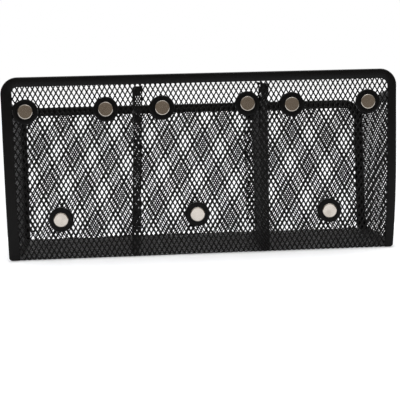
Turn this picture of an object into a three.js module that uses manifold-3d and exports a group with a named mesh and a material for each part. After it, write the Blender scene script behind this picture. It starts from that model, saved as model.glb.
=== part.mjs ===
import * as THREE from "three";
import { mergeVertices } from "three/addons/utils/BufferGeometryUtils.js";
import Module from "manifold-3d";

// Three-compartment pen holder of black expanded-metal mesh that clings to a steel board.
// Millimetres. X runs along the board, +Y away from the board towards the room, +Z up.
// The back panel is the tall one. It stands against the board, with nine magnets on it.

// Driving dimensions
const WIDTH = 306; // back frame, side to side
const HEIGHT = 141.5; // back frame's top edge above the surface
const FRONT_HEIGHT = 114.5; // top edge of the front frame above the surface
const FLOOR_DEPTH = 88; // back panel to front panel, along the floor
const FRONT_FLARE = 12; // how much farther out the front panel stands at its top edge
const SIDE_BACK_DROP = 13.7; // a side panel's top edge below the back frame's
const SIDE_FRONT_DROP = 5.5; // and below the front frame's
const DIVIDER_BACK_GAP = 1.4; // a divider's top edge below the back frame's top band
const DIVIDER_FRONT_GAP = 0.5; // and below the front frame's
const LEFT_FLANGE = 5.2; // width of the dividers' flanges
const RIGHT_FLANGE = 5.8;
const DIVIDERS = [
  // share: place as a share of the width from the middle; turn: the side its flanges point to;
  // foot and top: how far the foot and the highest edge stand to the right of that place
  { name: "left", share: -0.1745, turn: 1, flange: LEFT_FLANGE, foot: -4, top: 1.5 },
  { name: "right", share: 0.169, turn: -1, flange: RIGHT_FLANGE, foot: 0, top: 0 },
];
const UPPER_MAGNET_DROP = 25.8; // upper magnets' middle below the back frame's top edge
const LOWER_MAGNET_HEIGHT = 31.5;
// Magnets in each compartment: a share of its width from its left side, and a lift from the row.
// A housing's post goes through a diamond of the mesh, so the rows are a little uneven.
const MAGNETS = [
  { upper: [[0.164, -0.4], [0.79, 0]], lower: [0.407, 0] },
  { upper: [[0.218, 0], [0.844, 1.4]], lower: [0.457, 0.7] },
  { upper: [[0.184, 0], [0.79, 0.6]], lower: [0.477, 0] },
];
const MAGNET_DIAMETER = 12;

// Sheet metal and fits
const SHEET = 0.5; // thickness of the mesh
const GAP = 0.3; // clearance where one piece sits in another
const FOLD = 0.7; // wall of a folded edging strip
const STRIP = SHEET + 2 * (GAP + FOLD); // thickness of an edging strip over the mesh
const BACK_BANDS = { left: 8.4, right: 6.8, top: 7.4 }; // width of the back frame's bands
const FRONT_BANDS = { left: 4.8, right: 7.4, top: 7.4 }; // and of the front frame's
const RIM_BAND = 7.5; // depth of the edging on sides and dividers
const SIDE_FLANGE = 9; // the side panels' flange on the floor
const BACK_CORNER = 13; // outer corner radius of the back frame
const FRONT_CORNER = 17;
const FOOT_TAPER = { left: 0.7, right: 2.7 }; // how much the back frame draws in at its feet
const BASKET_INSET = 2; // how much narrower than the back frame the basket is, on each side
const FOOT_HEIGHT = 0.5; // the frames' feet above the surface that the floor lies on
const FOOT_ROUND = 2; // outer corner radius of a foot
const CELL_WIDTH = 24; // mesh cells, drawn six times coarser than the real 4 by 6.75 mm
const CELL_LENGTH = 40.5;
const CELL_OPENING = 0.68; // share of a cell's width and length that is open
const MESH_BORDER = 4; // unpierced edge that the strips and flanges hold
const CUT_PAST = 5; // how far a frame's opening is cut on below its feet

// Magnets and their housings
const RING_WALL = 3.5; // plastic round the magnet, measured to the ring's outer edge
const RING_HEIGHT = 3.2;
const POCKET_FLOOR = 0.8; // plastic between the magnet and the mesh
const MAGNET_PROUD = 0.4; // how far the magnet stands out of its ring
const POST_DIAMETER = 4; // the ring's post through the mesh
const CAP_DIAMETER = 12;
const CAP_HEIGHT = 1.2;
const ROUND_STEPS = 20;

// Derived sizes
const halfWidth = WIDTH / 2;
const sideBack = HEIGHT - SIDE_BACK_DROP;
const sideFront = FRONT_HEIGHT - SIDE_FRONT_DROP;
const dividerBack = HEIGHT - BACK_BANDS.top - DIVIDER_BACK_GAP;
const dividerFront = FRONT_HEIGHT - FRONT_BANDS.top - DIVIDER_FRONT_GAP;
const upperMagnets = HEIGHT - UPPER_MAGNET_DROP;
const ringDiameter = MAGNET_DIAMETER + 2 * RING_WALL;
const basketHalf = halfWidth - BASKET_INSET; // outer face of the front frame
const wallOuter = basketHalf - 0.5; // outer face of a side panel
const lean = Math.atan(FRONT_FLARE / FRONT_HEIGHT);
const frontHeightAlong = FRONT_HEIGHT / Math.cos(lean);
const frameInner = SHEET / 2 + STRIP / 2; // inner face of the back frame
const frontLift = (SHEET / 2) * Math.sin(lean); // keeps the leaning sheet's edge on the surface
const magnetFace = -RING_HEIGHT - MAGNET_PROUD;
const dividerPlaces = DIVIDERS.map((d) => d.share * WIDTH);
const walls = [-wallOuter, ...dividerPlaces, wallOuter];

const wasm = await Module();
wasm.setup();

const steel = { color: 0x1c1c1d, roughness: 0.42, metalness: 0.3 };
const meshSteel = { color: 0x161617, roughness: 0.5, metalness: 0.3 };
const plastic = { color: 0x2b2b2d, roughness: 0.48, metalness: 0 };
const nickel = { color: 0xcfc8c0, roughness: 0.22, metalness: 1 };

const part = new THREE.Group();
const frontPanel = new THREE.Group(); // its own frame: X along, Z up the leaning panel
frontPanel.position.set(0, FLOOR_DEPTH, frontLift);
frontPanel.rotation.x = -lean;
part.add(frontPanel);

function solid(geometry) {
  const bare = geometry.clone();
  bare.deleteAttribute("normal");
  bare.deleteAttribute("uv");
  const merged = mergeVertices(bare);
  return new wasm.Manifold(
    new wasm.Mesh({
      numProp: 3,
      vertProperties: Float32Array.from(merged.attributes.position.array),
      triVerts: Uint32Array.from(merged.index.array),
    }),
  );
}

function geometryOf(shape) {
  const mesh = shape.getMesh();
  const geometry = new THREE.BufferGeometry();
  geometry.setAttribute("position", new THREE.BufferAttribute(mesh.vertProperties, 3));
  geometry.setIndex(new THREE.BufferAttribute(mesh.triVerts, 1));
  geometry.computeVertexNormals();
  return geometry;
}

function addPiece(name, geometry, look, group = part) {
  const mesh = new THREE.Mesh(geometry, new THREE.MeshStandardMaterial(look));
  mesh.name = name;
  group.add(mesh);
  return mesh;
}

function polygon(points) {
  return new THREE.Shape(points.map(([a, b]) => new THREE.Vector2(a, b)));
}

function extrude(shapes, depth, curveSegments = 5) {
  return new THREE.ExtrudeGeometry(shapes, { depth, bevelEnabled: false, curveSegments });
}

// A shape drawn in X and Z, from y0 to y1.
function prismY(shapes, y0, y1) {
  return extrude(shapes, y1 - y0).rotateX(Math.PI / 2).translate(0, y1, 0);
}

// A shape drawn in Y and Z, from x0 to x1.
function prismX(shapes, x0, x1) {
  const turn = new THREE.Matrix4().makeBasis(
    new THREE.Vector3(0, 1, 0),
    new THREE.Vector3(0, 0, 1),
    new THREE.Vector3(1, 0, 0),
  );
  const low = Math.min(x0, x1);
  return extrude(shapes, Math.abs(x1 - x0)).applyMatrix4(turn).translate(low, 0, 0);
}

// A shape drawn in X and Y, from z0 to z1.
function prismZ(shapes, z0, z1) {
  return extrude(shapes, z1 - z0).translate(0, 0, z0);
}

// Diamonds in staggered rows over a rectangle, a whole number of cells each way.
function diamonds(a0, a1, b0, b1) {
  const columns = Math.max(1, Math.round((a1 - a0) / CELL_WIDTH));
  const rows = Math.max(1, Math.round((b1 - b0) / CELL_LENGTH));
  const width = (a1 - a0) / columns;
  const length = (b1 - b0) / rows;
  const shapes = [];
  for (let j = 0; j <= 2 * rows; j += 1) {
    for (let i = 0; i <= columns; i += 1) {
      const a = a0 + (i + (j % 2 ? 0 : 0.5)) * width;
      const b = b0 + (j / 2) * length;
      if (a > a1 + 1e-6) continue;
      const halfA = (width * CELL_OPENING) / 2;
      const halfB = (length * CELL_OPENING) / 2;
      shapes.push(polygon([[a - halfA, b], [a, b - halfB], [a + halfA, b], [a, b + halfB]]));
    }
  }
  return shapes;
}

// Pierces a flat sheet: the diamonds stay inside the window, a smaller outline of the sheet.
function pierce(sheet, holes, window) {
  return sheet.subtract(holes.intersect(window));
}

function even(inset) {
  return { left: inset, right: inset, top: inset };
}

// An arch: rounded top corners and sides that draw in at the feet, smaller by an inset.
function archShape({ half, top, foot, taper, corner }, inset) {
  const z = top - inset.top;
  const knee = foot + 0.25 * (top - foot);
  const bend = foot + 0.5 * (top - foot);
  const [left, right] = [half - inset.left, half - inset.right];
  const [leftFoot, rightFoot] = [left - taper.left, right - taper.right];
  const [leftRound, rightRound] = [corner - inset.left, corner - inset.right];
  const shape = new THREE.Shape();
  shape.moveTo(FOOT_ROUND - leftFoot, foot);
  shape.lineTo(rightFoot - FOOT_ROUND, foot);
  shape.quadraticCurveTo(rightFoot, foot, rightFoot, foot + FOOT_ROUND);
  shape.quadraticCurveTo(right, knee, right, bend);
  shape.lineTo(right, z - rightRound);
  shape.absarc(right - rightRound, z - rightRound, rightRound, 0, Math.PI / 2, false);
  shape.lineTo(leftRound - left, z);
  shape.absarc(leftRound - left, z - leftRound, leftRound, Math.PI / 2, Math.PI, false);
  shape.lineTo(-left, bend);
  shape.quadraticCurveTo(-left, knee, -leftFoot, foot + FOOT_ROUND);
  shape.quadraticCurveTo(-leftFoot, foot, FOOT_ROUND - leftFoot, foot);
  return shape;
}

// The frame of a panel: a strip folded over the sides and top of the mesh sheet.
function archFrame(arch, bands, middle) {
  const outer = prismY(archShape(arch, even(0)), middle - STRIP / 2, middle + STRIP / 2);
  const open = { ...arch, foot: arch.foot - CUT_PAST };
  const hole = prismY(archShape(open, bands), middle - STRIP, middle + STRIP);
  const slotHalf = SHEET / 2 + GAP;
  const slot = prismY(archShape(open, even(FOLD)), middle - slotHalf, middle + slotHalf);
  return geometryOf(solid(outer).subtract(solid(hole)).subtract(solid(slot)));
}

function archMesh(arch, bands, middle) {
  const y0 = middle - SHEET / 2;
  const y1 = middle + SHEET / 2;
  const sheet = prismY(archShape({ ...arch, foot: 0 }, even(FOLD + GAP)), y0, y1);
  const inner = { ...arch, foot: MESH_BORDER };
  const held = { left: bands.left - 1, right: bands.right - 1, top: bands.top - 1 };
  const window = prismY(archShape(inner, held), y0 - 1, y1 + 1);
  const { half, top } = arch;
  const holes = diamonds(held.left - half, half - held.right, inner.foot, top - held.top);
  return pierce(solid(sheet), solid(prismY(holes, y0 - 1, y1 + 1)), solid(window));
}

function makeBackPanel() {
  const middle = SHEET / 2;
  const arch = {
    half: halfWidth, top: HEIGHT, foot: FOOT_HEIGHT, taper: FOOT_TAPER, corner: BACK_CORNER,
  };
  addPiece("back_frame", archFrame(arch, BACK_BANDS, middle), steel);
  let net = archMesh(arch, BACK_BANDS, middle);
  for (const { x, z } of magnetPlaces()) {
    const pad = new THREE.CylinderGeometry(ringDiameter / 2, ringDiameter / 2, SHEET, ROUND_STEPS);
    const radius = POST_DIAMETER / 2 + GAP;
    const hole = new THREE.CylinderGeometry(radius, radius, 2 * STRIP, ROUND_STEPS);
    net = net.add(solid(pad.translate(x, middle, z)));
    net = net.subtract(solid(hole.translate(x, middle, z)));
  }
  addPiece("back_mesh", geometryOf(net), meshSteel);
}

function makeFrontPanel() {
  const arch = {
    half: basketHalf, top: frontHeightAlong, foot: FOOT_HEIGHT, taper: even(0), corner: FRONT_CORNER,
  };
  addPiece("front_frame", archFrame(arch, FRONT_BANDS, 0), steel, frontPanel);
  const net = archMesh(arch, FRONT_BANDS, 0);
  addPiece("front_mesh", geometryOf(net), meshSteel, frontPanel);
}

// Y of a plane parallel to the leaning front panel, a distance inside its middle, at a height.
function frontY(z, inside) {
  return FLOOR_DEPTH + (z - frontLift) * Math.tan(lean) - inside / Math.cos(lean);
}

// The floor lies on the surface. It is notched round the feet of the two frames.
function makeFloor() {
  const side = wallOuter - SHEET - GAP;
  const back = frameInner + GAP;
  const frameY = frontY(0, STRIP / 2 + GAP);
  const meshY = frontY(0, SHEET / 2 + GAP);
  const backLeft = GAP + BACK_BANDS.left + FOOT_TAPER.left - halfWidth;
  const backRight = halfWidth - BACK_BANDS.right - FOOT_TAPER.right - GAP;
  const left = GAP + FRONT_BANDS.left - basketHalf;
  const right = basketHalf - FRONT_BANDS.right - GAP;
  const outline = polygon([
    [-side, back], [backLeft, back], [backLeft, SHEET], [backRight, SHEET], [backRight, back],
    [side, back], [side, frameY], [right, frameY], [right, meshY], [left, meshY], [left, frameY],
    [-side, frameY],
  ]);
  const edge = [side - SIDE_FLANGE, frameY - MESH_BORDER];
  const window = polygon([
    [-edge[0], back + MESH_BORDER], [edge[0], back + MESH_BORDER], edge, [-edge[0], edge[1]],
  ]);
  const holes = diamonds(-edge[0], edge[0], back + MESH_BORDER, edge[1]);
  const net = pierce(
    solid(prismZ(outline, 0, SHEET)),
    solid(prismZ(holes, -1, SHEET + 1)),
    solid(prismZ(window, -1, SHEET + 1)),
  );
  addPiece("floor_mesh", geometryOf(net), meshSteel);
}

// Height of a sloping top edge at a distance from the back panel.
function slopeZ(back, front, y) {
  const run = frontY(front, 0) - SHEET;
  return back + ((front - back) * (y - SHEET)) / run;
}

// An upright sheet across the basket, between a back and a front limit, under a sloping edge.
// It stands on a foot: the surface for a side, the floor's mesh for a divider.
function uprightOutline(edge, backY, inside, foot, drop) {
  const topFront = slopeZ(edge.back, edge.front, frontY(edge.front, inside)) - drop;
  return [
    [backY, foot],
    [frontY(foot, inside), foot],
    [frontY(topFront, inside), topFront],
    [backY, slopeZ(edge.back, edge.front, backY) - drop],
  ];
}

function uprightNet(edge, backY, inside, foot, x0, x1) {
  const outline = uprightOutline(edge, backY, inside, foot, FOLD + GAP);
  const window = uprightOutline(
    edge, backY + MESH_BORDER, inside + MESH_BORDER, foot + MESH_BORDER, RIM_BAND - 1,
  );
  const reach = Math.max(...window.map(([y]) => y));
  const holes = diamonds(window[0][0], reach, window[0][1], window[3][1]);
  const low = Math.min(x0, x1);
  const high = Math.max(x0, x1);
  return pierce(
    solid(prismX(polygon(outline), low, high)),
    solid(prismX(holes, low - 1, high + 1)),
    solid(prismX(polygon(window), low - 1, high + 1)),
  );
}

// A strip folded over a sloping top edge; middle is the sheet's middle plane.
function edging(edge, backY, inside, middle) {
  const top = uprightOutline(edge, backY, inside, 0, 0);
  const low = uprightOutline(edge, backY, inside, 0, RIM_BAND);
  const outline = [low[3], low[2], top[2], top[3]];
  const slotTop = uprightOutline(edge, backY - 1, inside - 1, 0, FOLD);
  const slotLow = uprightOutline(edge, backY - 1, inside - 1, 0, RIM_BAND + 1);
  const slot = [slotLow[3], slotLow[2], slotTop[2], slotTop[3]];
  const half = SHEET / 2 + GAP;
  return solid(prismX(polygon(outline), middle - STRIP / 2, middle + STRIP / 2)).subtract(
    solid(prismX(polygon(slot), middle - half, middle + half)),
  );
}

function makeSides() {
  const edge = { back: sideBack, front: sideFront };
  const backY = frameInner + GAP;
  const inside = STRIP / 2 + GAP;
  for (const [name, side] of [["left", -1], ["right", 1]]) {
    const outer = side * wallOuter;
    const inner = side * (wallOuter - SHEET);
    const wall = uprightNet(edge, backY, inside, 0, inner, outer);
    const end = frontY(SHEET, inside);
    const raised = 2 * SHEET;
    const flange = polygon([[backY, SHEET], [end, SHEET], [end, raised], [backY, raised]]);
    const tip = inner - side * SIDE_FLANGE;
    const net = wall.add(solid(prismX(flange, inner + side * SHEET * 0.5, tip)));
    addPiece(`side_mesh_${name}`, geometryOf(net), meshSteel);
    const strip = edging(edge, backY, inside, side * (wallOuter - SHEET / 2));
    addPiece(`side_rim_${name}`, geometryOf(strip), steel);
  }
}

// A divider's three flanges: against the back panel, on the floor and against the front panel.
function dividerFlanges(x, turn, width) {
  const tip = x + turn * width;
  const inside = SHEET / 2 + GAP;
  const backTop = dividerBack - RIM_BAND - GAP;
  const frontTop = dividerFront - RIM_BAND - GAP;
  const foot = SHEET;
  const raised = 2 * SHEET;
  const end = frontY(foot, inside);
  const strips = [
    [[SHEET, foot], [2 * SHEET, foot], [2 * SHEET, backTop], [SHEET, backTop]],
    [[SHEET, foot], [end, foot], [end, raised], [SHEET, raised]],
    [
      [frontY(foot, inside + SHEET), foot], [end, foot],
      [frontY(frontTop, inside), frontTop], [frontY(frontTop, inside + SHEET), frontTop],
    ],
  ];
  return strips.map((points) => solid(prismX(polygon(points), x, tip)));
}

// The ends of a divider's edging, folded down over the flanges' upper ends.
function edgingTabs(x, tip) {
  const inside = SHEET / 2 + GAP;
  const back = dividerBack;
  const front = dividerFront;
  const deep = 2 * SHEET;
  const low = front - RIM_BAND;
  const strips = [
    [[SHEET, back - RIM_BAND], [SHEET + deep, back - RIM_BAND], [SHEET + deep, back], [SHEET, back]],
    [
      [frontY(low, inside + deep), low], [frontY(low, inside), low],
      [frontY(front, inside), front], [frontY(front, inside + deep), front],
    ],
  ];
  return strips.map((points) => solid(prismX(polygon(points), x, tip)));
}

// Slides every point sideways in proportion to its height, so that the piece leans.
function leaning(geometry, foot, top) {
  const rise = (top - foot) / dividerBack;
  const slide = new THREE.Matrix4().set(1, 0, rise, foot, 0, 1, 0, 0, 0, 0, 1, 0, 0, 0, 0, 1);
  return geometry.applyMatrix4(slide);
}

function makeDividers() {
  const edge = { back: dividerBack, front: dividerFront };
  const inside = SHEET / 2 + GAP;
  DIVIDERS.forEach(({ name, turn, flange, foot, top }, i) => {
    const x = dividerPlaces[i];
    const far = x + turn * SHEET;
    const middle = x + (turn * SHEET) / 2;
    let net = uprightNet(edge, SHEET, inside, SHEET, x, far);
    for (const strip of dividerFlanges(x, turn, flange)) net = net.add(strip);
    let rim = edging(edge, SHEET, inside, middle);
    const start = middle + turn * (SHEET / 2 + GAP);
    for (const tab of edgingTabs(start, x + turn * flange)) rim = rim.add(tab);
    addPiece(`divider_mesh_${name}`, leaning(geometryOf(net), foot, top), meshSteel);
    addPiece(`divider_rim_${name}`, leaning(geometryOf(rim), foot, top), steel);
  });
}

function magnetPlaces() {
  const places = [];
  MAGNETS.forEach(({ upper, lower }, i) => {
    const across = (share) => walls[i] + share * (walls[i + 1] - walls[i]);
    for (const [share, lift] of upper) places.push({ x: across(share), z: upperMagnets + lift });
    places.push({ x: across(lower[0]), z: LOWER_MAGNET_HEIGHT + lower[1] });
  });
  return places;
}

function turned(points) {
  return new THREE.LatheGeometry(points.map(([r, y]) => new THREE.Vector2(r, y)), ROUND_STEPS);
}

// A housing ring with its post, turned about Y. Its flat base lies on the mesh at Y = 0.
function ringGeometry() {
  const outer = ringDiameter / 2;
  const pocket = MAGNET_DIAMETER / 2 + 0.6;
  const post = POST_DIAMETER / 2;
  return turned([
    [0, -POCKET_FLOOR], [pocket, -POCKET_FLOOR], [pocket, -RING_HEIGHT + 0.3], [pocket + 0.4, -RING_HEIGHT],
    [outer - 1.1, -RING_HEIGHT], [outer, -RING_HEIGHT + 1.2], [outer, 0], [post, 0],
    [post, SHEET + CAP_HEIGHT], [0, SHEET + CAP_HEIGHT],
  ]);
}

function discGeometry() {
  const radius = MAGNET_DIAMETER / 2;
  const bevel = 0.35;
  return turned([
    [0, magnetFace], [radius - bevel, magnetFace], [radius, magnetFace + bevel],
    [radius, -POCKET_FLOOR], [0, -POCKET_FLOOR],
  ]);
}

function capGeometry() {
  const hole = POST_DIAMETER / 2 + GAP;
  const radius = CAP_DIAMETER / 2;
  return turned([
    [hole, SHEET], [radius, SHEET], [radius, SHEET + CAP_HEIGHT], [hole, SHEET + CAP_HEIGHT], [hole, SHEET],
  ]);
}

function makeMagnets() {
  magnetPlaces().forEach(({ x, z }, i) => {
    const pieces = [
      addPiece(`magnet_ring_${i + 1}`, ringGeometry(), plastic),
      addPiece(`magnet_disc_${i + 1}`, discGeometry(), nickel),
      addPiece(`magnet_cap_${i + 1}`, capGeometry(), plastic),
    ];
    for (const piece of pieces) piece.position.set(x, 0, z);
  });
}

makeBackPanel();
makeFrontPanel();
makeFloor();
makeSides();
makeDividers();
makeMagnets();

// The origin is under the middle of the whole depth, from the magnets' faces to the front frame.
const frontReach = frontY(FRONT_HEIGHT, 0) + STRIP / 2;
part.position.y = -(magnetFace + frontReach) / 2;

export default part;
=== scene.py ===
# %% [markdown]
# # A mesh pen holder with magnets
# Three compartments of black expanded steel mesh hang on a steel board by nine round
# magnets. The tall back panel faces the camera, so the magnets show.
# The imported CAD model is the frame: it says where each piece is and how big it may be.
# Everything below is built in that frame, in metres, around the CAD nodes.

# %% Load the frame
import math

import bpy
import numpy as np
from mathutils import Matrix, Vector


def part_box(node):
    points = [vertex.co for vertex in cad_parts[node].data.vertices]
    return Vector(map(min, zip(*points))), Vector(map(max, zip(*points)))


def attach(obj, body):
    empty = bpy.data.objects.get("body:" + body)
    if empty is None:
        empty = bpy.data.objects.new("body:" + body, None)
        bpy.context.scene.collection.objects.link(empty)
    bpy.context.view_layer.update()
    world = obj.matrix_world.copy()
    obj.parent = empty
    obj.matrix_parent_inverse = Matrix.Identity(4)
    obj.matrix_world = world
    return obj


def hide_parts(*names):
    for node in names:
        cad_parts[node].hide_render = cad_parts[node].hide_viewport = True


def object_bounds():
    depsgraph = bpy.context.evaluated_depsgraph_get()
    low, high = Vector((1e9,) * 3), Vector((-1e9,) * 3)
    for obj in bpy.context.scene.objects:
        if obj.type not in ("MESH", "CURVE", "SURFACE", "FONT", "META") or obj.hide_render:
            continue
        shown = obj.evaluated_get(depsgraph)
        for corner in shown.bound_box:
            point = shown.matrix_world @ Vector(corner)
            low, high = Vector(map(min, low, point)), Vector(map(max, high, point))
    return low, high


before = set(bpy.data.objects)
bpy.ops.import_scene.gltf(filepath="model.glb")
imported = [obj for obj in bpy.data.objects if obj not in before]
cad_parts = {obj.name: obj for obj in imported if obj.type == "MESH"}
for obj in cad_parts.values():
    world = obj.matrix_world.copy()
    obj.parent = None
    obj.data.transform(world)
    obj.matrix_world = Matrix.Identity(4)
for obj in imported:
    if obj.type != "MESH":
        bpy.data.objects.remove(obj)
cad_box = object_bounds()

print("nodes", len(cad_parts), "CAD box", [tuple(round(v, 4) for v in c) for c in cad_box])

# %% [markdown]
# ## Sizes
# The maker folds 0.5 mm mesh and grips its edges with strips of thin steel folded double.
# The sizes are kept in millimetres, because that is how the parts are drawn, and turned
# into metres in one place. y = 0 is the outer face of the back sheet, where the magnets sit.

# %% Sizes in millimetres
MM = 0.001
SHEET = 0.5  # thickness of the mesh
FOLD = 0.7  # wall of an edging strip
GAP = 0.3  # clearance of a sheet in a strip, and between strips
STRIP = SHEET + 2 * (GAP + FOLD)  # thickness of a strip
BACK_BANDS = (8.4, 6.8, 7.4)  # a frame's bands: left, right and top
FRONT_BANDS = (4.8, 7.4, 7.4)
BACK_CORNER, FRONT_CORNER = 13.0, 17.0  # outer radius of a frame's upper corners
BEND = 1.6  # radius of a fold, at the middle of the sheet
FLOOR_DEPTH = 88.0
FRONT_HEIGHT, FRONT_FLARE = 114.5, 12.0  # height and overhang of the front's top edge
WALL_INSET = 0.5  # the side sheets stand this far inside the front frame

back_high, front_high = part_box("back_frame")[1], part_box("front_frame")[1]
PLANE_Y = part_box("back_mesh")[0].y
HALF_WIDTH, HEIGHT = back_high.x / MM, back_high.z / MM
BASKET_HALF = front_high.x / MM
LEAN = math.atan(FRONT_FLARE / FRONT_HEIGHT)
FRONT_ALONG = FRONT_HEIGHT / math.cos(LEAN)  # height of the front panel along itself
FRONT_LIFT = SHEET / 2 * math.sin(LEAN)  # height of the foot of its middle plane
WALL_X = BASKET_HALF - WALL_INSET - SHEET / 2  # middle of a side sheet
print("half width", round(HALF_WIDTH, 2), "height", round(HEIGHT, 2))
print("lean of the front", round(math.degrees(LEAN), 2), "degrees")


# %% [markdown]
# ## From millimetres to Blender
# Every piece ends up in the same few steps: its points become metres, its faces are made
# to point outwards by the sign of the volume they enclose, and it rides on the body.
# Doing it once keeps each later cell about its own shape only.

# %% Turn points and faces into a piece
def metres(points):
    """Millimetres from the back sheet's outer face, to metres in the frame of the CAD."""
    return np.asarray(points, float) * MM + np.array([0.0, PLANE_Y, 0.0])


def enclosed(points, faces):
    """Signed volume: each face is a fan of triangles, and each adds a . (b x c) / 6."""
    total = 0.0
    for group in faces:
        corner = points[group]
        first, second = corner[:, 1:-1], corner[:, 2:]
        total += np.einsum("nj,nkj->", corner[:, 0], np.cross(first, second)) / 6
    return total


def make_piece(name, points, faces, finish, slot, nodes, sharp=None):
    """Builds one closed mesh. faces is a list of index arrays, one for each number of corners,
    and edges that turn by more than sharp degrees are shaded sharp."""
    points = metres(points)
    if enclosed(points - points.mean(0), faces) < 0:
        faces = [group[:, ::-1] for group in faces]
    mesh = bpy.data.meshes.new(name)
    mesh.from_pydata(points.tolist(), [], [row for group in faces for row in group.tolist()])
    mesh.shade_smooth()
    if sharp:
        mesh.set_sharp_from_angle(angle=math.radians(sharp))
    mesh.materials.append(finish)
    piece = bpy.data.objects.new(name, mesh)
    bpy.context.scene.collection.objects.link(piece)
    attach(piece, "root")
    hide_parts(*nodes)
    mesh.calc_loop_triangles()
    print(f"{name}: {len(mesh.loop_triangles)} triangles")


print("the back sheet's outer face is at y =", round(PLANE_Y, 4), "m")


# %% [markdown]
# ## Writing a finish as a sum
# A finish is a small tree of nodes. Drawn by hand it is hard to read, so here a socket can
# be added, subtracted and multiplied in Python, and each sign adds its Math node.

# %% A socket that can do sums
class Socket:
    """An output socket in a node tree. Signs between sockets and numbers add Math nodes."""

    def __init__(self, tree, output):
        self.tree, self.output = tree, output

    def sum(self, operation, first, second=0.0):
        return node(self.tree, "ShaderNodeMath", {"operation": operation}, {0: first, 1: second})

    def __add__(self, other):
        return self.sum("ADD", self, other)

    def __sub__(self, other):
        return self.sum("SUBTRACT", self, other)

    def __rsub__(self, other):
        return self.sum("SUBTRACT", other, self)

    def __mul__(self, other):
        return self.sum("MULTIPLY", self, other)

    def size(self):
        """Without its sign."""
        return self.sum("ABSOLUTE", self)

    def larger(self, other):
        return self.sum("MAXIMUM", self, other)

    def over(self, low, high):
        """0 below low, 1 above high, and a soft step between."""
        settings = {"interpolation_type": "SMOOTHSTEP"}
        return node(self.tree, "ShaderNodeMapRange", settings, {0: self, 1: low, 2: high})

    __radd__, __rmul__ = __add__, __mul__


def node(tree, kind, settings=None, inputs=None, output=0):
    """Any node: its settings first, then a value or a link for each named input."""
    made = tree.nodes.new(kind)
    for name, value in (settings or {}).items():
        setattr(made, name, value)
    for name, value in (inputs or {}).items():
        if isinstance(value, Socket):
            tree.links.new(value.output, made.inputs[name])
        else:
            made.inputs[name].default_value = value
    return Socket(tree, made.outputs[output]) if len(made.outputs) else made


def blend(tree, share, dark, light):
    """A colour between two others, by a share from 0 to 1."""
    return node(tree, "ShaderNodeMix", {"data_type": "RGBA"}, {0: share, 6: dark, 7: light}, 2)


def surface(name, base, metallic=0.0, shine=0.5):
    """A Principled surface and its tree. The base is the colour seen in the viewport."""
    material = bpy.data.materials.new(name)
    material.use_nodes = True
    material.diffuse_color = (*base, 1)
    shader = material.node_tree.nodes["Principled BSDF"]
    shader.inputs["Metallic"].default_value = metallic
    shader.inputs["Specular IOR Level"].default_value = shine
    return material, material.node_tree, shader


def join(tree, shader, **links):
    """Feeds a surface's own sockets, named with _ for a space."""
    for name, value in links.items():
        tree.links.new(value.output, shader.inputs[name.replace("_", " ")])


def noise(tree, size, detail=2.0, stretch=(1, 1, 1)):
    """Noise with lumps of about a size in metres, on Object coordinates."""
    place = node(tree, "ShaderNodeTexCoord", output=3)
    placed = node(tree, "ShaderNodeMapping", inputs={"Vector": place, "Scale": stretch})
    inputs = {"Vector": placed, "Scale": 1 / size, "Detail": detail}
    return node(tree, "ShaderNodeTexNoise", inputs=inputs)


def bump(tree, height, strength, distance):
    inputs = {"Strength": strength, "Distance": distance, "Height": height}
    return node(tree, "ShaderNodeBump", inputs=inputs)


# %% [markdown]
# ## Powder-coated steel
# The strips and the mesh are sprayed with black powder and baked. The coat melts into a
# skin with a faint orange peel about a millimetre wide and a low gloss that drifts a little.
# Two scales of noise do this: a fine one for the peel, a broad one for gloss and colour.

# %% Finishes of the frames and the mesh
def powder_coat(name, deep, raised, gloss, peel):
    """Two near-blacks by broad noise, roughness gloss +- 0.05, and an orange-peel bump."""
    material, tree, shader = surface(name, raised, shine=0.19)
    broad = noise(tree, 0.02, 3.0)
    fine = noise(tree, 0.0009, 2.0)
    colour = blend(tree, broad.over(0.35, 0.7), (*deep, 1), (*raised, 1))
    join(tree, shader, Base_Color=colour, Roughness=(broad - 0.5) * 0.2 + gloss)
    join(tree, shader, Normal=bump(tree, fine + broad * 0.3, peel, 0.0001))
    return material


STRIP_BLACKS = (0.0016, 0.0016, 0.0017), (0.0024, 0.0024, 0.0025)
MESH_BLACKS = (0.0014, 0.0014, 0.0015), (0.0022, 0.0022, 0.0023)
STRIP_COAT = powder_coat("strip_coat", *STRIP_BLACKS, gloss=0.42, peel=0.22)
MESH_COAT = powder_coat("mesh_coat", *MESH_BLACKS, gloss=0.42, peel=0.15)
print("coats", STRIP_COAT.name, MESH_COAT.name)


# %% [markdown]
# ## Moulded plastic and nickel
# The magnet housings are dark plastic from a lightly sparked mould, so they are matt with
# a very fine grain. The magnets are plated with nickel: bright, warm in tone, faintly
# brushed by the tumbling before the plating, and a little duller where they are touched.

# %% Finishes of the magnets
def moulded(name, deep, raised):
    """Two blacks by broad noise, a roughness near 0.42, and a fine grain as bump."""
    material, tree, shader = surface(name, raised, shine=0.15)
    grain, broad = noise(tree, 0.00025, 2.0), noise(tree, 0.006, 2.0)
    colour = blend(tree, broad, (*deep, 1), (*raised, 1))
    join(tree, shader, Base_Color=colour, Roughness=broad * 0.12 + 0.36)
    join(tree, shader, Normal=bump(tree, grain, 0.12, 0.00005))
    return material


def plated(name, dull, bright):
    """Bright metal, duller and rougher where broad noise is high, with brushed streaks."""
    material, tree, shader = surface(name, bright, metallic=1.0)
    touched = noise(tree, 0.007, 3.0).over(0.35, 0.75)
    brushed = noise(tree, 0.0006, 3.0, (1, 1, 8))
    colour = blend(tree, touched, (*bright, 1), (*dull, 1))
    join(tree, shader, Base_Color=colour, Roughness=touched * 0.06 + brushed * 0.03 + 0.11)
    join(tree, shader, Normal=bump(tree, brushed, 0.012, 0.00003))
    return material


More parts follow.
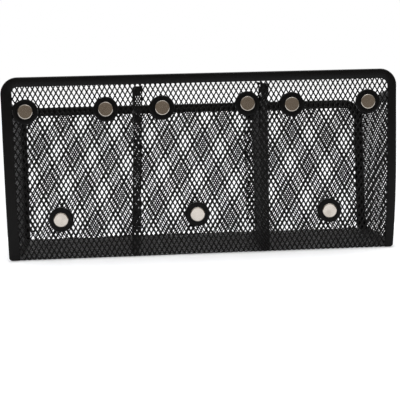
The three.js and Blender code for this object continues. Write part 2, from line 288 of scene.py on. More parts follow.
HOUSING = moulded("housing_plastic", (0.0016, 0.0016, 0.0017), (0.0025, 0.0025, 0.0027))
NICKEL = plated("nickel_plate", (0.46, 0.42, 0.37), (0.54, 0.50, 0.45))
print("magnets", HOUSING.name, NICKEL.name)


# %% [markdown]
# ## Expanded mesh
# Expanded metal starts as a plain sheet: it is slit in staggered rows and pulled, and each
# slit opens into a diamond. So the sheet is tiled by diamonds without a gap, and each one
# has an opening with blunt tips, which leaves strands about a millimetre wide.
# The tiling is a grid along the diamonds' own sides. Its corners are computed as one array,
# corners past the sheet's edge are pressed onto the edge, and every opening is placed
# inside its own four corners, so it stays inside whatever the press did to them.

# %% The tiling of a flat sheet
PITCH = np.array([3.8896, 6.76])  # a diamond's width and length
BLUNT = ((1.28, 0.10), (0.13, 2.17))  # half an opening: its side tip and its long tip
SLIVER, ROOM = 0.05, 0.45  # shares of a diamond: less is dropped, and less stays shut


def opening_shares():
    """The opening's eight points as shares (s, t) of the cell: 0.5 + u/width -+ v/length."""
    (wide, low), (thin, long) = BLUNT
    u = np.array([-wide, -thin, thin, wide, wide, thin, -thin, -wide]) / PITCH[0]
    v = np.array([-low, -long, -long, -low, low, long, long, low]) / PITCH[1]
    return 0.5 + u - v, 0.5 + u + v


def press(points, limits):
    """Moves points past a line p*a + q*b = r straight back onto it, for each (p, q, r)."""
    for p, q, r in limits:
        direction = np.array([p, q]) / math.hypot(p, q)
        over = np.maximum(points @ direction - r / math.hypot(p, q), 0)
        points = points - over[..., None] * direction
    return points


def quad_area(corners):
    """Half the cross product of the diagonals."""
    one, two = corners[:, 2] - corners[:, 0], corners[:, 3] - corners[:, 1]
    return (one[:, 0] * two[:, 1] - one[:, 1] * two[:, 0]) / 2


def tiling(span, limits, tilt, phase, keep, shut):
    """Corner points (pressed), cells (left, low, right, high) of the diamonds in a span, and
    which of them are open: those that the press left nearly whole and shut doesn't name."""
    turn = np.array([[math.cos(tilt), math.sin(tilt)], [-math.sin(tilt), math.cos(tilt)]])
    (a0, a1), (b0, b1) = span
    ends = np.array([[a0, b0], [a1, b0], [a1, b1], [a0, b1]]) @ turn.T / PITCH
    rows = ends[:, 0] - ends[:, 1] + phase[0], ends[:, 0] + ends[:, 1] + phase[1]
    i, j = (np.arange(math.floor(r.min()) - 1, math.ceil(r.max()) + 2) for r in rows)
    p, q = np.meshgrid(i - 0.5 - phase[0], j - 0.5 - phase[1], indexing="ij")
    flat = np.stack([(p + q) / 2, (q - p) / 2], -1).reshape(-1, 2) * PITCH @ turn
    low = (np.arange(len(i) - 1)[:, None] * len(j) + np.arange(len(j) - 1)).ravel()
    cells = np.stack([low, low + len(j), low + len(j) + 1, low + 1], 1)
    middle = flat[cells].mean(1)
    pressed = press(flat, limits)
    share = quad_area(pressed[cells]) / (PITCH.prod() / 2)
    inside = (share > SLIVER) & keep(*middle.T)
    opened = (share > ROOM) & ~shut(*middle.T)
    return pressed, cells[inside], opened[inside]


gap = 1 - 2 * (np.array(BLUNT) / PITCH).sum(1)  # at an opening's two corners
print("strands", (gap * PITCH.prod() / math.hypot(*PITCH)).round(2), "mm wide")


# %% [markdown]
# A sheet is two such layers, joined round every opening and round the outline. A side of a
# cell that no neighbour shares is part of the outline, and a search for each side's
# opposite number finds those at once.

# %% From the tiling to a closed sheet
def layer(flat, cells, opened):
    """One layer's points and faces, its opening loops, and its outline edges. A shut cell is
    cut along the diagonal that leaves its two triangles most alike."""
    s, t = opening_shares()
    weights = np.stack([(1 - s) * (1 - t), s * (1 - t), s * t, (1 - s) * t], 1)
    holes = np.einsum("kw,nwc->nkc", weights, flat[cells[opened]])
    ring = len(flat) + np.arange(len(holes) * 8).reshape(-1, 8)
    left, low, right, high = cells[opened].T
    o = ring.T
    quads = [(left, low, o[1], o[0]), (low, right, o[3], o[2]),
             (right, high, o[5], o[4]), (high, left, o[7], o[6])]
    tips = [(left, o[0], o[7]), (low, o[2], o[1]), (right, o[4], o[3]), (high, o[6], o[5])]
    shut = cells[~opened]
    across, along = (np.abs(quad_area(flat[shut[:, one]]) * quad_area(flat[shut[:, two]]))
                     for one, two in (([0, 1, 2, 2], [0, 2, 3, 3]), ([0, 1, 3, 3], [1, 2, 3, 3])))
    split = np.where((across > along)[:, None], shut, np.roll(shut, -1, 1))
    triangles = [np.stack(tip, 1) for tip in tips] + [split[:, [0, 1, 2]], split[:, [0, 2, 3]]]
    edges = np.concatenate([cells[:, [k, (k + 1) % 4]] for k in range(4)])
    code, back = edges @ (len(flat), 1), edges[:, ::-1] @ (len(flat), 1)
    points = np.concatenate([flat, holes.reshape(-1, 2)])
    strands = np.concatenate([np.stack(quad, 1) for quad in quads])
    return points, [strands, np.concatenate(triangles)], ring, edges[~np.isin(back, code)]


def thick_sheet(middle, normal, faces, ring, outline):
    """Two layers at middle +- half the sheet's thickness along the normal, joined by walls."""
    count = len(middle)
    points = np.concatenate([middle + normal * SHEET / 2, middle - normal * SHEET / 2])
    after = np.roll(ring, -1, 1)
    walls = np.stack([ring, after, after + count, ring + count], -1).reshape(-1, 4)
    a, b = outline.T
    edge = np.stack([b, a, a + count, b + count], 1)
    quads = np.concatenate([faces[0], faces[0][:, ::-1] + count, walls, edge])
    corners = np.concatenate([quads.ravel(), faces[1].ravel(), faces[1].ravel() + count])
    used, index = np.unique(corners, return_inverse=True)
    quads = index[:quads.size].reshape(-1, 4)
    half = (len(index) - quads.size) // 2
    top = index[quads.size:quads.size + half].reshape(-1, 3)
    under = index[quads.size + half:].reshape(-1, 3)[:, ::-1]
    return points[used], [quads, np.concatenate([top, under])]


# %% [markdown]
# The sheets are bent on a folding bench, with a small radius inside. A fold is a change of
# place only: the points past the line travel round a quarter circle and then on, and the
# sheet's normal turns with them, so the thickness stays right all the way round.

# %% Folding a sheet
def fold(points, normals, line, out, turn, bend=math.pi / 2):
    """Bends past a line: with reach the distance beyond it and angle = reach / BEND, a point
    goes to line + BEND (sin angle out + (1 - cos angle) turn), then straight on."""
    line, out, turn = (np.asarray(v, float) for v in (line, out, turn))
    reach = np.maximum((points - line) @ out, 0)[:, None]
    angle = np.minimum(reach / BEND, bend)
    ahead = np.cos(angle) * out + np.sin(angle) * turn
    round_ = BEND * (np.sin(angle) * out + (1 - np.cos(angle)) * turn)
    side = (normals @ turn)[:, None]
    bent = points - reach * out + round_ + (reach - BEND * angle) * ahead
    return bent, np.where(reach > 0, side * (np.cos(angle) * turn - np.sin(angle) * out), normals)


def everywhere(a, b):
    return np.ones(len(a), bool)


def nowhere(a, b):
    return np.zeros(len(a), bool)


def net(span, limits, plane, folds, tilt, phase, keep=everywhere, shut=nowhere):
    """Expanded mesh: tiled flat, set on a plane (point, a-direction, b-direction), then folded."""
    flat, faces, ring, outline = layer(*tiling(span, limits, tilt, phase, keep, shut))
    start, a, b = (np.asarray(v, float) for v in plane)
    middle = start + flat[:, :1] * a + flat[:, 1:] * b
    normal = np.tile(np.cross(a, b), (len(middle), 1))
    for line, out, turn, *bend in folds:
        middle, normal = fold(middle, normal, line, out, turn, *bend)
    return thick_sheet(middle, normal, faces, ring, outline)


print("a quarter fold takes up", round(BEND * math.pi / 2, 2), "mm of the sheet")

# %% [markdown]
# ## Back, floor and front
# One long strip of mesh makes all three: down the back, along the floor and up the front.
# The diamonds lean two thirds of a degree, because the sheet was cut a little off square,
# and they lean the other way on the front, which is the same sheet coming back up.
# It is made as three pieces. The back and the floor share their tiling, so the diamonds run
# round the fold. Under the frames' strips the mesh simply stops.

# %% The back sheet and the floor
BACK_TILT, BACK_PHASE = 0.0116495, (68.93534, 8.43102)
FRONT_TILT, FRONT_PHASE = -0.0158739, (75.11916, 12.78391)
SHEET_HALF = BASKET_HALF - FOLD - GAP  # half of the width that the strips' slots leave
FLOOR_MIDDLE = SHEET / 2
BACK_FOLD = FLOOR_MIDDLE + BEND  # height where the back starts to bend
SEAM = BACK_FOLD - BEND * math.pi / 2  # where the floor's piece starts, along the sheet
FRONT_FOLD = (FLOOR_MIDDLE + BEND * (1 - math.sin(LEAN)) - FRONT_LIFT) / math.cos(LEAN)
FLOOR_END = FLOOR_DEPTH + FRONT_FOLD * math.sin(LEAN) - BEND * math.cos(LEAN)
CLEAR = BASKET_HALF - max(FRONT_BANDS) - 1.5  # the folds keep clear of the frames' feet
back_plane = ((0, SHEET / 2, 0), (1, 0, 0), (0, 0, 1))
back_fold = ((0, SHEET / 2, BACK_FOLD), (0, 0, -1), (0, 1, 0))


def arch_limits(half, top, foot, corner):
    """Lines for a sheet with its two upper corners cut, to stay inside a rounded frame."""
    slant = half + top - (2 - math.sqrt(2)) * corner
    return [(1, 0, half), (-1, 0, half), (0, 1, top), (0, -1, -foot), (1, 1, slant), (-1, 1, slant)]


def back_cells(x, v):
    return (v > SEAM) & ((np.abs(x) < CLEAR) | (v > BACK_FOLD + PITCH[1] / 2))


def floor_cells(x, v):
    return (v <= SEAM) & ((np.abs(x) < CLEAR) | (v < SEAM - PITCH[1] / 2))


end = SEAM - (FLOOR_END - SHEET / 2 - BEND)  # the floor's far edge, along the sheet
top = HEIGHT - FOLD - GAP
limits = arch_limits(SHEET_HALF, top, end, BACK_CORNER)
back_net = net([(-SHEET_HALF, SHEET_HALF), (end, top)], limits, back_plane, [back_fold],
               BACK_TILT, BACK_PHASE, back_cells)
make_piece("back_sheet", *back_net, MESH_COAT, "mesh_steel", ["back_mesh"])
inner = WALL_X - SHEET / 2 - GAP
limits = [(1, 0, inner), (-1, 0, inner), (0, -1, -end)]
floor_net = net([(-inner, inner), (end, 2 * BACK_FOLD)], limits, back_plane, [back_fold],
                BACK_TILT, BACK_PHASE, floor_cells)
make_piece("floor_sheet", *floor_net, MESH_COAT, "mesh_steel", ["floor_mesh"])

# %% The front sheet
ALONG = np.array([0, math.sin(LEAN), math.cos(LEAN)])  # up the leaning panel
INWARD = np.array([0, -math.cos(LEAN), math.sin(LEAN)])  # square to it, towards the back
FRONT_FOOT = np.array([0, FLOOR_DEPTH, FRONT_LIFT])


def front_y(z, inside):
    """Depth of the plane that lies a distance inside the front sheet's middle, at a height."""
    return FLOOR_DEPTH + (z - FRONT_LIFT) * math.tan(LEAN) - inside / math.cos(LEAN)


def front_cells(x, v):
    return (np.abs(x) < CLEAR) | (v > FRONT_FOLD + PITCH[1] / 2)


bend = math.pi / 2 - LEAN
foot = FRONT_FOLD - BEND * bend
top = FRONT_ALONG - FOLD - GAP
limits = arch_limits(SHEET_HALF, top, foot, FRONT_CORNER)
front_fold = (FRONT_FOOT + FRONT_FOLD * ALONG, -ALONG, INWARD, bend)
front_net = net([(-SHEET_HALF, SHEET_HALF), (foot, top)], limits, (FRONT_FOOT, (1, 0, 0), ALONG),
                [front_fold], FRONT_TILT, FRONT_PHASE, front_cells)
make_piece("front_sheet", *front_net, MESH_COAT, "mesh_steel", ["front_mesh"])

# %% [markdown]
# ## Sides and dividers
# A side is a sheet with a flange that lies on the floor, where it is spot-welded. A divider
# has three: against the back, on the floor and against the front. Both have a top edge that
# slopes down to the lower front. The flange is the same sheet, folded along a line, and the
# front fold follows the leaning panel. The corners between two flanges are cut out.
# The diamonds of a side lie down and its flange isn't pierced, while a divider's diamonds
# stand. The left divider isn't quite upright: its foot is to the left of its top.

# %% Upright sheets
FLANGE_MIDDLE = 1.5 * SHEET  # height of a flange's middle, lying on the floor
SIDE_FLANGE = 9.0
SIDE_TOP = (127.8, 109.0)  # heights of a side's top edge, at the back and at the front
SIDE_REACH = 102.0  # a depth past the front panel
SIDE_TILT, SIDE_PHASE = 0.008, (0.3, 0.4)
STRETCH = BEND * (math.pi / 2 - 1)  # what a fold takes up beyond the square corner


def slope(tops, y):
    """Height of a sloping edge: a straight line from the back sheet to the front sheet."""
    back, front = tops
    return back + (front - back) * (y - SHEET) / (front_y(front, 0) - SHEET)


def slope_limit(tops, drop):
    """The same edge, lowered, as a line (p, q, r) in depth and height."""
    rise = slope(tops, 1.0) - slope(tops, 0.0)
    return (-rise, 1.0, slope(tops, 0.0) - drop)


def front_limit(inside):
    """A line inside the leaning front panel, in depth and height."""
    tan = math.tan(LEAN)
    return (1.0, -tan, FLOOR_DEPTH - FRONT_LIFT * tan - inside / math.cos(LEAN))


def flange_cells(z, y):
    return z < FLANGE_MIDDLE + BEND


back_edge = STRIP / 2 + SHEET / 2 + GAP
for name, side in (("left", -1), ("right", 1)):
    x = side * WALL_X
    line = (x, 0, FLANGE_MIDDLE + BEND)
    end = line[2] - SIDE_FLANGE - STRETCH + SHEET / 2
    limits = [(-1, 0, -back_edge), front_limit(STRIP / 2 + GAP), (0, -1, -end),
              slope_limit(SIDE_TOP, FOLD + GAP)]
    limits = [(height, depth, r) for depth, height, r in limits]
    plane, flange_fold = ((x, 0, 0), (0, 0, 1), (0, 1, 0)), (line, (0, 0, -1), (-side, 0, 0))
    side_net = net([(end, SIDE_TOP[0]), (back_edge, SIDE_REACH)], limits, plane, [flange_fold],
                   SIDE_TILT * side, SIDE_PHASE, shut=flange_cells)
    make_piece(f"side_sheet_{name}", *side_net, MESH_COAT, "mesh_steel", [f"side_mesh_{name}"])

# %% Dividers
DIVIDER_TOP = (132.7, 106.6)  # heights of a divider's top edge, at the back and at the front
DIVIDERS = {"left": (-53.397, 1, 5.2), "right": (51.714, -1, 5.8)}  # x, turn and flange
DIVIDER_LEANS = {"left": (-4.0, 1.5), "right": (0.0, 0.0)}  # off that x at the foot and the top
DIVIDER_TILING = {"left": (-0.0441, (0.994, 0.717)), "right": (0.006, (0.1, 0.65))}
DIVIDER_SPAN = [(-12, 112), (-8, DIVIDER_TOP[0] + 4)]  # depths and heights past its edges
back_line, low_line = 1.5 * SHEET + BEND, FLANGE_MIDDLE + BEND  # where the folds start
front_inside = SHEET + GAP + BEND
front_line = front_limit(front_inside)


def leaning(points, name):
    """Slides the points sideways in proportion to their height."""
    foot, top = DIVIDER_LEANS[name]
    return points + (foot + (top - foot) / DIVIDER_TOP[0] * points[:, 2:]) * [1, 0, 0]


def notched(y, z):
    """Keeps what is above the floor's fold, and below it only what the other folds leave."""
    upright = (y > back_line) & (y * front_line[0] + z * front_line[1] < front_line[2])
    return upright | (z > low_line)


for name, (x, turn, flange) in DIVIDERS.items():
    middle = x + turn * SHEET / 2
    out = flange - SHEET / 2 + STRETCH  # how far the flat sheet runs past a fold's square corner
    limits = [(-1, 0, out - back_line + BEND), front_limit(front_inside - BEND - out),
              (0, -1, out - low_line + BEND), slope_limit(DIVIDER_TOP, FOLD + GAP)]
    bends = [((middle, back_line, 0), (0, -1, 0), (turn, 0, 0)),
             ((middle, 0, low_line), (0, 0, -1), (turn, 0, 0)),
             (FRONT_FOOT + front_inside * INWARD, -INWARD, (turn, 0, 0))]
    plane = ((middle, 0, 0), (0, 1, 0), (0, 0, 1))
    points, faces = net(DIVIDER_SPAN, limits, plane, bends, *DIVIDER_TILING[name], notched)
    make_piece(f"divider_sheet_{name}", leaning(points, name), faces, MESH_COAT, "mesh_steel",
               [f"divider_mesh_{name}"])

# %% [markdown]
# ## Folded strips
# The raw edges of expanded mesh are sharp, so a steel strip is folded double over each of
# them and pressed flat. Its section is a U with a round back and blunt lips. The section is
# carried along the edge as a grid: one row of points for each place on the path.

# %% The strip's section, carried along a path
def strip_section(band):
    """Points (t, w) for each band width: across the strip, and in from its outer edge. Half a
    circle makes the outside of the back and another the inside, and the lips are blunt."""
    half, wall = STRIP / 2, STRIP / 2 - FOLD
    blunt, bevel = 0.25, 0.15  # what is off a lip's corners, along the band and across it
    outer, inner = np.radians(np.linspace(0, 180, 13)), np.radians(np.linspace(0, 180, 7))
    lip = np.array([(half, -blunt), (half - bevel, 0), (wall + bevel, 0), (wall, -blunt)])
    flat = [half + 0.3]  # where the flat starts: a row there keeps its shading flat
    back_w, slot_w = half - half * np.sin(outer), half - wall * np.sin(inner)
    t = [[-half], -half * np.cos(outer), [half], lip[:, 0], wall * np.cos(inner), -lip[::-1, 0]]
    w = [flat, back_w, flat, lip[:, 1], slot_w, lip[::-1, 1]]
    at_lip = np.repeat([0, 1, 0, 1], [len(outer) + 2, len(lip), len(inner), len(lip)])
    return np.concatenate(t), np.concatenate(w) + at_lip * np.asarray(band, float)[:, None]


def tube(grid):
    """Faces of a grid of rings, each closed on itself, with a cap on the first and last."""
    rings, around = grid.shape[:2]
    index = np.arange(rings * around).reshape(rings, around)
    after = np.roll(index, -1, 1)
    quads = np.stack([index[:-1], after[:-1], after[1:], index[1:]], -1).reshape(-1, 4)
    return grid.reshape(-1, 3), [quads, np.stack([index[0][::-1], index[-1]])]


def strip(path, across, inward, band, squeeze=1.0):
    """point = path + t * across + w * inward, for every section point at every path point."""
    t, w = strip_section(band)
    squeeze = np.broadcast_to(squeeze, len(path))
    sideways = (squeeze[:, None] * t)[..., None] * across[:, None]
    return tube(path[:, None] + sideways + w[..., None] * inward[:, None])


STRIP_CREASE = 50  # degrees, more than between the facets of the rounded back and slot
print("points round a strip", len(strip_section([0.0])[0]))

# %% [markdown]
# ## The two frames
# Each frame goes up one side, round a corner, along the top and down again. The back frame's
# sides draw in a little towards the feet. The path is the outer edge, and the direction into
# the panel turns with the corner, so the band keeps its width all the way round.

# %% Back and front frames
FOOT_TAPER = (0.7, 2.7)  # how far the back frame draws in at its left and its right foot
FOOT_HEIGHT, FOOT_ROUND = 0.5, 2.0


def half_arch(half, top, taper, corner, side_band, top_band):
    """Outer edge (x, height), inward direction and band width, from foot to middle. The foot's
    corner is a quarter circle, and the side draws in by taper * (1 - height / half top)^2."""
    foot = np.radians([10, 30, 50, 70])
    low = np.linspace(FOOT_HEIGHT + FOOT_ROUND, top - corner, 15)
    angle = np.radians(np.linspace(0, 90, 15))[1:]
    drawn = taper * np.maximum(1 - low / (0.5 * top), 0) ** 2
    lost = FOOT_ROUND * (1 - np.sin(foot))  # what the foot's corner takes off the band
    x = [half - drawn[0] - lost, half - drawn, half - corner + corner * np.cos(angle)]
    z = [FOOT_HEIGHT + FOOT_ROUND * (1 - np.cos(foot)), low, top - corner + corner * np.sin(angle)]
    x, z = np.concatenate(x), np.concatenate(z)
    turn = np.concatenate([0 * foot, 0 * low, angle])
    band = side_band + (top_band - side_band) * np.sin(turn)
    band[:len(foot)] -= lost
    into = np.stack([-np.cos(turn), 0 * turn, -np.sin(turn)], 1)
    return np.stack([x, 0 * x, z], 1), into, band


def arch(half, top, tapers, corner, bands):
    """Both halves in one path, from the right foot over the top to the left foot."""
    right = half_arch(half, top, tapers[1], corner, bands[1], bands[2])
    left = half_arch(half, top, tapers[0], corner, bands[0], bands[2])
    mirror = np.array([-1, 1, 1])
    path, into = (np.concatenate([r, l[::-1] * mirror]) for r, l in zip(right[:2], left[:2]))
    return path, into, np.concatenate([right[2], left[2][::-1]])


path, into, band = arch(HALF_WIDTH, HEIGHT, FOOT_TAPER, BACK_CORNER, BACK_BANDS)
across = np.tile([0.0, 1.0, 0.0], (len(path), 1))
points, faces = strip(path + [0, SHEET / 2, 0], across, into, band)
make_piece("back_strip", points, faces, STRIP_COAT, "black_steel", ["back_frame"], STRIP_CREASE)

path, into, band = arch(BASKET_HALF, FRONT_ALONG, (0.0, 0.0), FRONT_CORNER, FRONT_BANDS)
points, faces = strip(path, across, into, band)
points = FRONT_FOOT + points[:, :1] * [1, 0, 0] - points[:, 1:2] * INWARD + points[:, 2:] * ALONG
make_piece("front_strip", points, faces, STRIP_COAT, "black_steel", ["front_frame"], STRIP_CREASE)

# %% [markdown]
# ## The sloping rims
# The same strip covers the top edge of each side and divider. On a side it runs straight
# from frame to frame. On a divider it turns a corner at each end and covers the flange too,
# so its path in plan is a shallow U with small round corners.

# %% Rims of the sides
RIM_BAND = 7.5

for name, side in (("left", -1), ("right", 1)):
    depth = np.array([back_edge, front_y(SIDE_TOP[1], STRIP / 2 + GAP)])
    path = np.stack([np.full(2, side * WALL_X), depth, slope(SIDE_TOP, depth)], 1)
    down = np.stack([[0, 0, -1], -ALONG])
    across = np.tile([1.0, 0.0, 0.0], (2, 1))
    rim = strip(path, across, down, np.full(2, RIM_BAND))
    make_piece(f"side_strip_{name}", *rim, STRIP_COAT, "black_steel", [f"side_rim_{name}"],
               STRIP_CREASE)

# %% Rims of the dividers
OFF_SHEET = 0.75  # middle of the strip on a flange, from the face of the sheet it lies on
SQUEEZE = 0.43  # share of its thickness that the strip loses on a flange


def turned_path(x, turn, flange):
    """In plan: along the back flange, round a quarter circle, along the divider, and back."""
    near, far = SHEET + OFF_SHEET, front_y(DIVIDER_TOP[1], SHEET / 2 + GAP + OFF_SHEET)
    angle = np.radians(np.linspace(0, 90, 7))
    bow_x, bow_y = BEND * (1 - np.sin(angle)), BEND * (1 - np.cos(angle))
    end = [flange - SHEET / 2]
    plan_x = np.concatenate([end, bow_x, bow_x[::-1], end])
    plan_y = np.concatenate([[near], near + bow_y, far - bow_y[::-1], [far]])
    heading = np.concatenate([[0], angle, np.pi - angle[::-1], [np.pi]])
    sides = np.stack([-turn * np.sin(heading), np.cos(heading), 0 * heading], 1)
    path_x = x + turn * SHEET / 2 + turn * plan_x
    return np.stack([path_x, plan_y, slope(DIVIDER_TOP, plan_y)], 1), sides, np.abs(np.cos(heading))


for name, (x, turn, flange) in DIVIDERS.items():
    path, sides, flat = turned_path(x, turn, flange)
    lean = np.clip((path[:, 1] - SHEET) / (path[-1, 1] - SHEET), 0, 1)[:, None]
    down = (1 - lean) * [0, 0, -1] + lean * -ALONG
    points, faces = strip(path, sides, down, np.full(len(path), RIM_BAND), 1 - SQUEEZE * flat)
    make_piece(f"divider_strip_{name}", leaning(points, name), faces, STRIP_COAT, "black_steel",
               [f"divider_rim_{name}"], STRIP_CREASE)

# %% [markdown]
# ## Magnets
# Each magnet is a nickel-plated disc, glued into the pocket of a plastic ring. The ring has
# a post that goes through the mesh, and a round cap holds it from inside. All three are
# turned shapes: a profile of radius and depth, carried round the ring's own axis. Next to a
# rounded edge the profile has one more point on the flat, so that the flat is shaded flat.
# The disc's rounded edge catches a thin ring of light.

# %% Turned pieces
ROUND = 64


def turned(profile, x, z):
    """Carries (radius, depth) round: x + r cos(angle), depth, z + r sin(angle)."""
    radius, depth = np.array(profile, float).T
    angle = np.linspace(0, 2 * np.pi, ROUND, endpoint=False)
    ring = np.stack([np.cos(angle), 0 * angle, np.sin(angle)], 1)
    centre = np.stack([np.full(len(depth), x), depth, np.full(len(depth), z)], 1)
    return tube(centre[:, None] + radius[:, None, None] * ring)


def rounded(centre_r, centre_y, size, start, stop, count=5):
    """Points of a small arc in a profile, from one angle to another in degrees."""
    angle = np.radians(np.linspace(start, stop, count))
    return [(centre_r + size * math.cos(a), centre_y + size * math.sin(a)) for a in angle]


RING_RADIUS, RING_HEIGHT, RING_ROUND = 9.5, 3.2, 1.1
POCKET, POCKET_FLOOR, POCKET_ROUND = 6.15, -0.8, 0.1
DISC, FACE, DISC_ROUND = 5.7, 3.6, 0.75
POST, CAP_RADIUS, CAP_TOP, CAP_ROUND = 2.0, 6.0, SHEET + 1.2, 0.6
BESIDE = 0.2  # from a rounded edge to the point on the flat beside it

pocket_edge = rounded(POCKET + POCKET_ROUND, POCKET_ROUND - RING_HEIGHT, POCKET_ROUND, 180, 270)
ring_edge = rounded(RING_RADIUS - RING_ROUND, RING_ROUND - RING_HEIGHT, RING_ROUND, 270, 360, 7)
ring_face = [(POCKET + POCKET_ROUND + BESIDE, -RING_HEIGHT),
             (RING_RADIUS - RING_ROUND - BESIDE, -RING_HEIGHT)]
ring_back = [(RING_RADIUS, -0.3), (RING_RADIUS - 0.25, 0), (POST, 0), (POST, CAP_TOP)]
ring_profile = [(POCKET, POCKET_FLOOR)] + pocket_edge + ring_face + ring_edge + ring_back
disc_edge = rounded(DISC - DISC_ROUND, DISC_ROUND - FACE, DISC_ROUND, 0, -90, 7)
disc_profile = [(DISC, POCKET_FLOOR)] + disc_edge + [(DISC - 0.9, -FACE)]
cap_edge = rounded(CAP_RADIUS - CAP_ROUND, CAP_TOP - CAP_ROUND, CAP_ROUND, 0, 90)
cap_profile = [(CAP_RADIUS, SHEET)] + cap_edge
print("points in a profile", len(ring_profile), len(disc_profile), len(cap_profile))

# %% Nine magnets
TURNED_CREASE = 40  # degrees
TURNED = {"ring": (ring_profile, HOUSING, "black_plastic"),
          "disc": (disc_profile, NICKEL, "nickel"),
          "cap": (cap_profile, HOUSING, "black_plastic")}

for number in range(1, 10):
    low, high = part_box(f"magnet_ring_{number}")
    x, z = (low.x + high.x) / 2 / MM, (low.z + high.z) / 2 / MM
    for kind, (profile, finish, slot) in TURNED.items():
        make_piece(f"turned_{kind}_{number}", *turned(profile, x, z), finish, slot,
                   [f"magnet_{kind}_{number}"], TURNED_CREASE)

# %% [markdown]
# ## Camera
# The photograph was taken from about 0.7 m, a little above the object and left of its
# middle, with a slight roll. Eye, aim and lens come from fitting the mesh's diamonds, the
# frame's outline and the magnets to it.

# %% Camera
EYE = (-50.75, -686.94, 141.91)
YAW, PITCH_DOWN, ROLL = 0.0699877, -0.1147519, -0.0242480
LENS, SHIFT = 80.13, -0.0625  # millimetres on a 36 mm sensor, and a share of the width

ahead = Vector((math.sin(YAW) * math.cos(PITCH_DOWN), math.cos(YAW) * math.cos(PITCH_DOWN),
                math.sin(PITCH_DOWN)))
level = Vector((math.cos(YAW), -math.sin(YAW), 0))
up = level.cross(ahead)
right = math.cos(ROLL) * level + math.sin(ROLL) * up
up = -math.sin(ROLL) * level + math.cos(ROLL) * up
camera = bpy.data.objects.new("camera", bpy.data.cameras.new("camera"))
camera.matrix_world = Matrix((right, up, -ahead)).transposed().to_4x4()
camera.location = metres(EYE)
camera.data.lens, camera.data.shift_y = LENS, SHIFT
camera.data.clip_start, camera.data.clip_end = 0.01, 50
bpy.context.scene.collection.objects.link(camera)
bpy.context.scene.camera = camera
print("camera", [round(v, 3) for v in camera.location])

# %% [markdown]
# ## Floor, sky and lamps
# The holder stands on white paper. The paper gives way to the same white in the
# distance, so no horizon shows. To the camera it glows, and three things keep that glow in
# bounds: it fades under the holder and close to it, as a painted shadow; it is weaker behind
# the basket, as painted shade there and so that it doesn't eat into the fine strands; and
# mirrors see half of it. Under the holder the matt white is painted dark too, as a painted shadow.
# The room behind the camera is dim and warm, and the polished magnets show it, while the
# lower ones show the paper in front of them.

# %% Floor
FOOTPRINT, FOOTPRINT_Y = (0.150, 0.044), -0.0048  # metres: half its size, and its middle


def light_kinds(tree):
    """Sockets that are 1 for what the camera sees, directly, mirrored or through glass."""
    outputs = node(tree, "ShaderNodeLightPath").output.node.outputs
    names = "Is Camera Ray", "Is Glossy Ray", "Is Transmission Ray"
    return [Socket(tree, outputs[name]) for name in names]


def parts_of(tree, vector):
    """The x, y and z of a vector, each as a socket."""
    outputs = node(tree, "ShaderNodeSeparateXYZ", inputs={0: vector}).output.node.outputs
    return [Socket(tree, output) for output in outputs]


def paper():
    """A matt white plus a glow. Both are painted dark under the holder as its shadow, and the glow
    is painted weaker near it and behind it as shade. away is the distance in metres from the
    basket's footprint.
    """
    material = bpy.data.materials.new("white_paper")
    material.use_nodes = True
    tree = material.node_tree
    tree.nodes.clear()
    seen, gloss, through = light_kinds(tree)
    x, y, _ = parts_of(tree, node(tree, "ShaderNodeTexCoord", output=3))
    away = (x.size() - FOOTPRINT[0]).larger((y - FOOTPRINT_Y).size() - FOOTPRINT[1])
    # painted shadow: the glow fades out under the holder and is weaker close to it
    near = away.over(-0.004, 0.006) * 0.5 + away.over(0.02, 0.25) * 0.5
    # painted shade: behind the basket the glow drops, a little less far off, which also keeps it
    # off the fine strands
    behind = 1 - y.over(0.045, 0.075) * (0.8 - y.over(0.6, 2.5) * 0.55)
    colour = blend(tree, near * behind, (0, 0, 0, 1), (1, 1, 1, 1))
    strength = seen + gloss * 0.5 + through
    glow = node(tree, "ShaderNodeEmission", inputs={"Color": colour, "Strength": strength})
    # painted shadow: the matt white is painted dark under the holder
    painted_shadow_colour = blend(tree, away.over(-0.02, 0.004), (0.25, 0.25, 0.26, 1), (0.80, 0.81, 0.83, 1))
    matt = node(tree, "ShaderNodeBsdfDiffuse", inputs={"Color": painted_shadow_colour})
    both = node(tree, "ShaderNodeAddShader", inputs={0: glow, 1: matt})
    node(tree, "ShaderNodeOutputMaterial", inputs={"Surface": both})
    return material


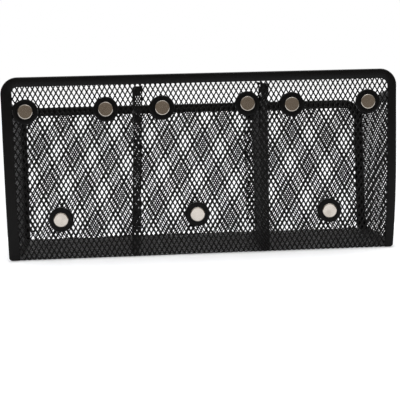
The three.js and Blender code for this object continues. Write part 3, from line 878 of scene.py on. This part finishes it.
FAR, NEAR = 6.0, 0.47  # metres of paper, to the sides and behind, and towards the camera
EDGES = 96
angle = np.linspace(0, 2 * np.pi, EDGES, endpoint=False)
reach = np.where(np.sin(angle) > 0, FAR, NEAR)
level_z = np.full(EDGES, cad_box[0].z)
outline = np.stack([FAR * np.cos(angle), reach * np.sin(angle), level_z], 1)
sheet = bpy.data.meshes.new("paper_floor")
sheet.from_pydata(outline.tolist(), [], [list(range(EDGES))])
floor = bpy.data.objects.new("paper_floor", sheet)
floor.data.materials.append(paper())
bpy.context.scene.collection.objects.link(floor)
print("paper", EDGES, "edges,", 2 * FAR, "m wide")


# %% Sky and lamps
def sky():
    """White to the camera. Behind the camera and low down it is the dim room, for mirrors and
    for light that falls on the object."""
    world = bpy.data.worlds.new("studio")
    bpy.context.scene.world = world
    world.use_nodes = True
    tree = world.node_tree
    tree.nodes.clear()
    seen, gloss, through = light_kinds(tree)
    _, toward, height = parts_of(tree, node(tree, "ShaderNodeTexCoord", output=0))
    room = (1 - seen) * (1 - toward.over(-0.25, 0.25)) * (1 - height.over(0.35, 0.75))
    colour = blend(tree, room, (1, 1, 1, 1), (0.232, 0.198, 0.165, 1))
    strength = 1 - (1 - (seen + gloss + through)) * 0.45
    glow = node(tree, "ShaderNodeBackground", inputs={"Color": colour, "Strength": strength})
    node(tree, "ShaderNodeOutputWorld", inputs={"Surface": glow})


def lamp(name, place, size, power):
    """A round soft lamp that looks at the origin. Metres and watts."""
    light = bpy.data.lights.new(name, "AREA")
    light.shape, light.size, light.energy = "DISK", size, power
    made = bpy.data.objects.new(name, light)
    made.location = place
    made.rotation_euler = (-Vector(place)).to_track_quat("-Z", "Y").to_euler()
    bpy.context.scene.collection.objects.link(made)


sky()
lamp("overhead", (0.1, 0.35, 1.5), 1.4, 16)
lamp("left_soft", (-1.3, 0.5, 0.9), 0.8, 4)
lamp("right_soft", (1.3, 0.5, 0.8), 0.8, 4)
bpy.context.scene.view_settings.view_transform = "Standard"
print("lamps", [light.name for light in bpy.data.lights])
